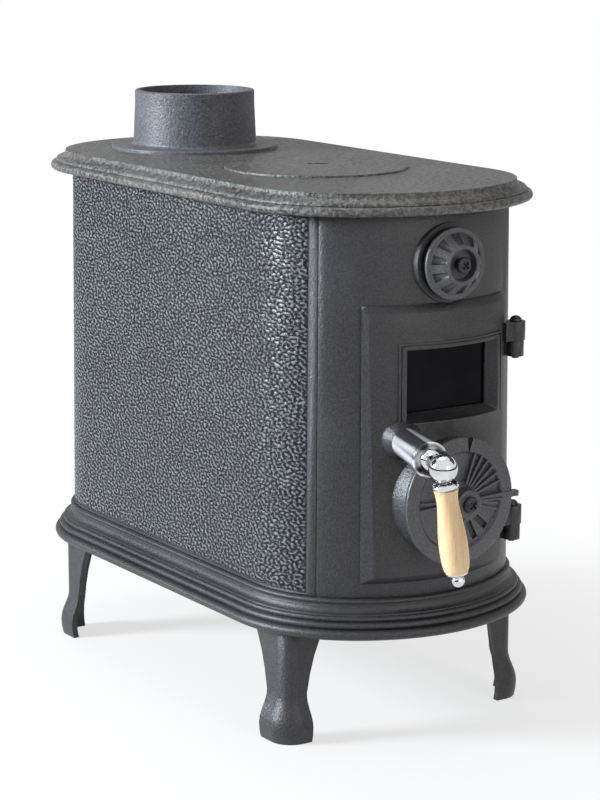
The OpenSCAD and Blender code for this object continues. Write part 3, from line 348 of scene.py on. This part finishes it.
def beechWood():
    finish = Finish("beechWood")
    wave = finish.noise(beech["rings"], 3, 0.6, 0.4, beech["stretch"])
    broad = finish.noise(70, 2, 0.5, 0.6, beech["stretch"])
    fleck = finish.noise(1400, 1, 0.5, 0.0, (1.0, 1.0, 0.12))
    rings = wave.between(0.38, 0.72) * 0.55 + broad.between(0.4, 0.7) * 0.3
    wood = finish.mix(rings, beech["pale"], beech["dark"])
    paint = finish.mix(fleck.between(0.62, 0.75) * 0.35, wood, beech["fleck"])
    gloss = beech["gloss"] + (wave - 0.5) * 0.12
    return finish.surface({"Base Color": paint, "Roughness": gloss, "Normal": finish.bump(fleck, 0.03 * mm),
                           "Coat Weight": beech["varnish"], "Coat Roughness": 0.2})


rope = {"dark": (0.22, 0.21, 0.19), "pale": (0.52, 0.50, 0.46), "strands": 130, "depth": 0.6}


def ropeFibre():
    finish = Finish("ropeFibre")
    strand = finish.node("TexWave", {"bands_direction": "DIAGONAL"}, {
        "Vector": finish.place(), "Scale": rope["strands"], "Distortion": 3.0, "Detail": 2.0})
    fluff = finish.noise(900, 3, 0.7)
    paint = finish.mix(strand * 0.6 + fluff * 0.4, rope["dark"], rope["pale"])
    return finish.surface({"Base Color": paint, "Roughness": 0.9,
                           "Normal": finish.bump(strand, rope["depth"] * mm)})


# opaque near black glass: painted shade of the unlit firebox behind it
glassShade = {"dark": (0.002, 0.002, 0.004), "pale": (0.007, 0.007, 0.010), "gloss": 0.06, "shine": 0.08}


def shadedGlass():
    finish = Finish("shadedGlass")
    patchiness = finish.noise(26, 4, 0.6)
    # painted shade of the firebox, a little lighter or darker in random patches
    paint = finish.mix(patchiness.between(0.35, 0.75), glassShade["dark"], glassShade["pale"])
    gloss = glassShade["gloss"] + patchiness.between(0.4, 0.8) * 0.1
    return finish.surface({"Base Color": paint, "Roughness": gloss, "IOR": 1.45,
                           "Specular IOR Level": glassShade["shine"]})


woodFinish, ropeFinish, glassFinish = beechWood(), ropeFibre(), shadedGlass()
print("wood, rope and glass finishes made")

finishes = {
    bodyIron: ["base_plate", "front_panel", "door", "front_left_leg", "front_right_leg", "rear_left_leg",
               "rear_right_leg", "rear_panel", "left_side_panel", "right_side_panel"],
    # the air disc and wheel wear the lighter copy, a painted highlight
    litCoverIron: ["lower_air_disc", "upper_air_wheel"],
    topIron: ["top_plate", "hob_lid"],
    flueIron: ["flue_collar"],
    insideIron: ["fire_grate", "baffle_plate", "ash_pan", "latch_keeper", "latch_cam", "window_clips"],
    screwMetal: ["leg_bolts", "tie_rods", "tie_rod_nuts", "flue_collar_screws", "window_clip_screws",
                 "hinge_pins", "lower_air_screw", "lower_air_nut", "upper_air_screw", "upper_air_nut",
                 "latch_keeper_screws", "spindle_washer", "spindle_nut"],
    steelMetal: ["handle_spindle", "handle_rod"],
    streakReflectionFinish: ["handle_sleeve"],
    chromeMetal: ["handle_ball", "handle_ferrule", "handle_end_cap"],
    woodFinish: ["handle_grip"],
    ropeFinish: ["door_rope_seal", "window_gasket"],
    glassFinish: ["window_glass"],
}


def dress(node, finish):
    mesh = nodes[node].data
    for index in range(len(mesh.materials)):
        mesh.materials[index] = finish
    if not mesh.materials:
        mesh.materials.append(finish)


for finish, members in finishes.items():
    for member in members:
        dress(member, finish)
print("finishes put on")

# ---- softened edges of the castings
edges = {
    "weld": 0.01,  # mm
    "width": {"base_plate": 0.7, "top_plate": 0.7, "front_panel": 0.8, "door": 0.8, "lower_air_disc": 0.6,
              "upper_air_wheel": 0.6, "front_left_leg": 1.0, "front_right_leg": 1.0, "rear_left_leg": 1.0,
              "rear_right_leg": 1.0, "hob_lid": 0.5, "left_side_panel": 0.6, "right_side_panel": 0.6,
              "latch_keeper": 0.5, "fire_grate": 1.0, "rear_panel": 0.6},
    "segments": 2,
    "angle": 32,
}


def softenEdges(node, width):
    part = nodes[node]
    weld = part.modifiers.new("weld", "WELD")
    weld.merge_threshold = edges["weld"] * mm
    bevel = part.modifiers.new("bevel", "BEVEL")
    bevel.width, bevel.segments = width * mm, edges["segments"]
    bevel.limit_method, bevel.angle_limit = "ANGLE", math.radians(edges["angle"])
    bevel.use_clamp_overlap = True
    bevel.harden_normals = True
    bevel.miter_outer = "MITER_ARC"


for node, width in edges["width"].items():
    softenEdges(node, width)
print("edges softened")

# ---- the hammered fields of the two side panels, in mm
hammer = {
    "stepAlong": 1.45, "stepUp": 1.0,  # mesh spacing
    "along": 5.6, "up": 3.6,  # spacing of the pebbles
    "spread": 0.42,  # how much that spacing varies
    "fine": 0.40, "fineness": 1.8, "fineSpread": 0.5,  # share and spacing of the smaller pebbles
    "lean": 0.32,  # how much they line up down towards the door
    "flatness": 0.85,  # how soon crests and pits level off
    "relief": 0.54,  # height of the pebbles over the middle
    "sunk": 0.60,  # depth of the field's middle under the panel's face
    "lift": 0.03,  # the field's edge lies this far over the panel's own
    "margin": 3.0,  # the relief fades out over this width
    "halfWidth": 145.0, "cornerX": 24.0, "cornerY": 156.5,
    "insetLow": 17.6, "insetHigh": 21.2, "low": 136.0, "tall": 337.0, "seam": 52.0, "fieldDepth": 1.2,
    "border": 9.0, "edge": 2.5,  # smooth borders beside the seams, and above and below
}


def pebbles(rows, columns, seed):
    rng = np.random.default_rng(seed)
    spectrum = np.fft.rfft2(rng.standard_normal((rows, columns)))
    across = np.fft.rfftfreq(columns, hammer["stepAlong"])[None, :] * hammer["along"]
    upward = np.fft.fftfreq(rows, hammer["stepUp"])[:, None] * hammer["up"]
    size = np.hypot(across, upward)
    coarse = np.exp(-((size - 1) / hammer["spread"]) ** 2)
    fine = np.exp(-((size - hammer["fineness"]) / hammer["fineSpread"]) ** 2)
    slant = np.sin(2 * np.arctan2(upward, across + 1e-9))
    band = (coarse + hammer["fine"] * fine) * (1 - hammer["lean"] * slant)
    field = np.fft.irfft2(spectrum * band, (rows, columns))
    return np.tanh(hammer["flatness"] * field / field.std())


def hammeredField(side, seed):
    radius = hammer["halfWidth"] - hammer["cornerX"]
    meanInset = (hammer["insetLow"] + hammer["insetHigh"]) / 2
    arcRadius = radius - meanInset
    start = math.radians(hammer["seam"]) + hammer["border"] / (radius - hammer["insetHigh"])
    arc = (math.pi / 2 - start) * arcRadius
    total = 2 * arc + 2 * hammer["cornerY"]
    columns = int(total / hammer["stepAlong"])
    low, high = hammer["low"] + hammer["edge"], hammer["low"] + hammer["tall"] - hammer["edge"]
    rows = int((hammer["tall"] - 2 * hammer["edge"]) / hammer["stepUp"])
    way = np.linspace(0, total, columns)
    height = np.linspace(low, high, rows)
    relief = pebbles(rows, columns, seed)
    rim = np.minimum(np.minimum(way, total - way)[None, :],
                     np.minimum(height - height[0], height[-1] - height)[:, None])
    fade = np.clip(rim / hammer["margin"], 0, 1)
    fade = fade * fade * (3 - 2 * fade)
    rise = hammer["fieldDepth"] - hammer["sunk"] + hammer["relief"] * relief
    depth = -hammer["fieldDepth"] + hammer["lift"] + rise * fade
    taper = (hammer["insetHigh"] - hammer["insetLow"]) / hammer["tall"]
    inset = hammer["insetLow"] + taper * (height - hammer["low"])
    out = radius - inset[:, None] + depth
    turn = np.where(way < arc, start + way / arcRadius,
                    np.where(way > total - arc, start + (total - way) / arcRadius, math.pi / 2))
    straight = np.clip(way - arc, 0, 2 * hammer["cornerY"]) - hammer["cornerY"]
    flip = np.where(way < total / 2, -1.0, 1.0)
    x = hammer["cornerX"] + out * np.sin(turn)[None, :]
    y = straight[None, :] + flip[None, :] * out * np.cos(turn)[None, :]
    z = np.broadcast_to(height[:, None], x.shape)
    points = np.stack([x * side, y, z], -1).reshape(-1, 3) * mm
    index = np.arange(rows * columns).reshape(rows, columns)
    quads = np.stack([index[:-1, :-1], index[:-1, 1:], index[1:, 1:], index[1:, :-1]], -1).reshape(-1, 4)
    if side < 0:
        quads = quads[:, ::-1]
    name = ("left" if side < 0 else "right") + "_hammered_field"
    mesh = bpy.data.meshes.new(name)
    mesh.from_pydata(points.tolist(), [], quads.tolist())
    # crest is the pebble height; the hammered colour turns it into painted shade and painted highlight
    mesh.attributes.new("crest", "FLOAT", "POINT").data.foreach_set(
        "value", np.clip(0.5 + 0.5 * relief * fade, 0, 1).astype(np.float32).ravel())
    mesh.shade_smooth()
    mesh.materials.append(hammeredIron)
    piece = bpy.data.objects.new(name, mesh)
    bpy.context.scene.collection.objects.link(piece)
    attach(piece, "stove")
    print(name, len(quads), "faces")


hammeredField(-1, 11)
hammeredField(1, 12)
